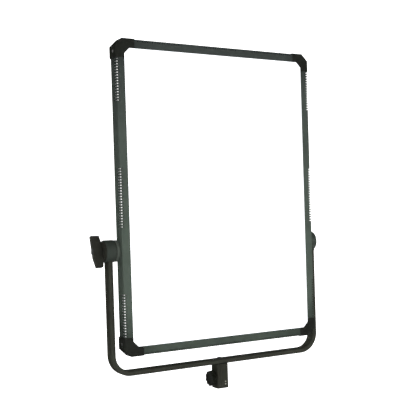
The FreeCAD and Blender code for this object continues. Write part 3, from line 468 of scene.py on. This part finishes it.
# weld beads where the yoke legs meet their lugs
ya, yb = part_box("yoke_tube")
la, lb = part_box("yoke_lug_left")
R_LUG = (lb.z - la.z) / 2
LEG_T = frame_t = 0.0113
DEEP = yb.y - ya.y
for side in (-1, 1):
    xc = (ya.x + LEG_T / 2) if side < 0 else (yb.x - LEG_T / 2)
    path = []
    a, b, rr = LEG_T / 2, DEEP / 2, 0.004
    for cx, cy, t0 in ((a - rr, b - rr, 0), (-a + rr, b - rr, 90), (-a + rr, -b + rr, 180), (a - rr, -b + rr, 270)):
        for i in range(5):
            t = math.radians(t0 + 22.5 * i)
            path.append((cx + rr * math.cos(t), cy + rr * math.sin(t)))
    dense = []
    for i, p0 in enumerate(path):
        p1 = path[(i + 1) % len(path)]
        L = math.hypot(p1[0] - p0[0], p1[1] - p0[1])
        m_ = max(1, int(L / 0.0008))
        dense += [(p0[0] + (p1[0] - p0[0]) * k / m_, p0[1] + (p1[1] - p0[1]) * k / m_) for k in range(m_)]
    vs, fs = [], []
    n = len(dense)
    for i, (px, py) in enumerate(dense):
        qx, qy = dense[(i + 1) % n]
        zb = PIVOT.z - math.sqrt(max(R_LUG ** 2 - py ** 2, 0.0))
        nrm = Vector((px * 0.7 / a, py / b, 0)).normalized()
        r_b = 0.00105 + 0.00022 * math.sin(i * 1.9)
        for k in range(6):
            t = 2 * math.pi * k / 6
            vs.append(Vector((xc + px, py, zb)) + nrm * r_b * math.cos(t) + Vector((0, 0, 1)) * r_b * math.sin(t))
    for i in range(n):
        for k in range(6):
            fs.append((i * 6 + k, i * 6 + (k + 1) % 6, ((i + 1) % n) * 6 + (k + 1) % 6, ((i + 1) % n) * 6 + k))
    piece("weld_bead_" + ("left" if side < 0 else "right"), vs, fs, YOKE, "yoke", smooth=True)

# ------------------------------------------------------------------ floor, light and camera
base_z = CAD_BOX[0][2]
floor_mat = Mat("studio_floor")
fc = floor_mat.ramp(floor_mat.noise(3.0, 3.0), [(0.3, (0.86, 0.86, 0.86)), (0.7, (0.88, 0.88, 0.88))])
fx, fy, fz = floor_mat.xyz()
flen = floor_mat.math("SQRT", floor_mat.math("ADD", floor_mat.math("MULTIPLY", fx, fx), floor_mat.math("MULTIPLY_ADD", fy, fy, 0.04)))
fdot = floor_mat.math("DIVIDE", floor_mat.math("ADD", floor_mat.math("MULTIPLY", fx, 0.494), floor_mat.math("MULTIPLY", fy, 0.869)), flen)
glow_t = floor_mat.maprange(fdot, 0.35, 0.90, 0.08, 0.97)
floor_mat.principled(Base_Color=fc, Roughness=0.85, Emission_Color=(1.0, 1.0, 1.0), Emission_Strength=glow_t)


def sweep_floor():
    """Floor and wall in one curved sheet around the object."""
    bm = bmesh.new()
    rows = []
    R = 6.0
    z0 = base_z - 0.9
    prof = [(0.0, z0), (2.5, z0), (4.0, z0 + 0.05), (5.2, z0 + 0.5), (5.8, z0 + 1.4), (R, z0 + 2.8), (R, z0 + 6.0)]
    n = 48
    for r, z in prof:
        if r == 0:
            rows.append([bm.verts.new((0, 0, z))])
        else:
            rows.append([bm.verts.new((r * math.cos(2 * math.pi * i / n), r * math.sin(2 * math.pi * i / n), z)) for i in range(n)])
    for i in range(n):
        bm.faces.new((rows[0][0], rows[1][i], rows[1][(i + 1) % n]))
    for a, b in zip(rows[1:], rows[2:]):
        for i in range(n):
            bm.faces.new((a[i], b[i], b[(i + 1) % n], a[(i + 1) % n]))
    me = bpy.data.meshes.new("floor")
    bm.to_mesh(me)
    bm.free()
    me.materials.append(floor_mat.m)
    ob = bpy.data.objects.new("floor", me)
    bpy.context.scene.collection.objects.link(ob)
    for p in me.polygons:
        p.use_smooth = True
    return ob


sweep_floor()


def area(name, loc, target, size, power, col=(1, 1, 1), size_y=None):
    li = bpy.data.lights.new(name, "AREA")
    li.shape = "RECTANGLE"
    li.size = size
    li.size_y = size_y or size
    li.energy = power
    li.color = col
    ob = bpy.data.objects.new(name, li)
    ob.location = loc
    ob.rotation_euler = (Vector(target) - Vector(loc)).to_track_quat("-Z", "Y").to_euler()
    bpy.context.scene.collection.objects.link(ob)
    return ob


C = Vector((0, 0, ZC))
area("key_soft", (-0.7, -2.9, 1.2), C, 1.2, 24)
area("left_strip", (-1.9, -1.5, 0.5), C, 0.16, 3.0, size_y=1.6)
area("right_soft", (2.0, -2.4, 0.7), C, 1.2, 7)
area("back_soft", (0.6, 2.8, 1.6), C, 1.8, 22)
area("low_fill", (0.2, -1.8, -0.5), (0, 0, 0.1), 1.4, 4)

w = bpy.data.worlds.new("studio")
bpy.context.scene.world = w
w.use_nodes = True
w.node_tree.nodes["Background"].inputs[0].default_value = (1.0, 1.0, 1.0, 1.0)
w.node_tree.nodes["Background"].inputs[1].default_value = 0.45

sc = bpy.context.scene
sc.view_settings.view_transform = "Standard"
sc.view_settings.look = "None"
sc.view_settings.exposure = 0.0

# camera: view direction, distance and roll of the framed view
AZ, EL, ROLL = math.radians(30.116), math.radians(0.760), math.radians(-1.765)
DIST, TX, TZ, FOCAL = 1.7725, -0.0391, -0.0692, 807.85
d = Vector((math.sin(AZ) * math.cos(EL), math.cos(AZ) * math.cos(EL), -math.sin(EL)))
r = Vector((math.cos(AZ), -math.sin(AZ), 0.0))
u = r.cross(d)
r2 = r * math.cos(ROLL) + u * math.sin(ROLL)
u2 = -r * math.sin(ROLL) + u * math.cos(ROLL)
cam_data = bpy.data.cameras.new("camera")
cam_data.sensor_width = 36.0
cam_data.lens = FOCAL / 416.0 * 36.0
cam_data.shift_y = 20.0 / 416.0
cam_data.clip_end = 60.0
cam = bpy.data.objects.new("camera", cam_data)
sc.collection.objects.link(cam)
m = Matrix((r2, u2, -d)).transposed().to_4x4()
m.translation = Vector((TX, FRONT, ZC + TZ)) - d * DIST
cam.matrix_world = m
sc.camera = cam

bpy.context.view_layer.update()
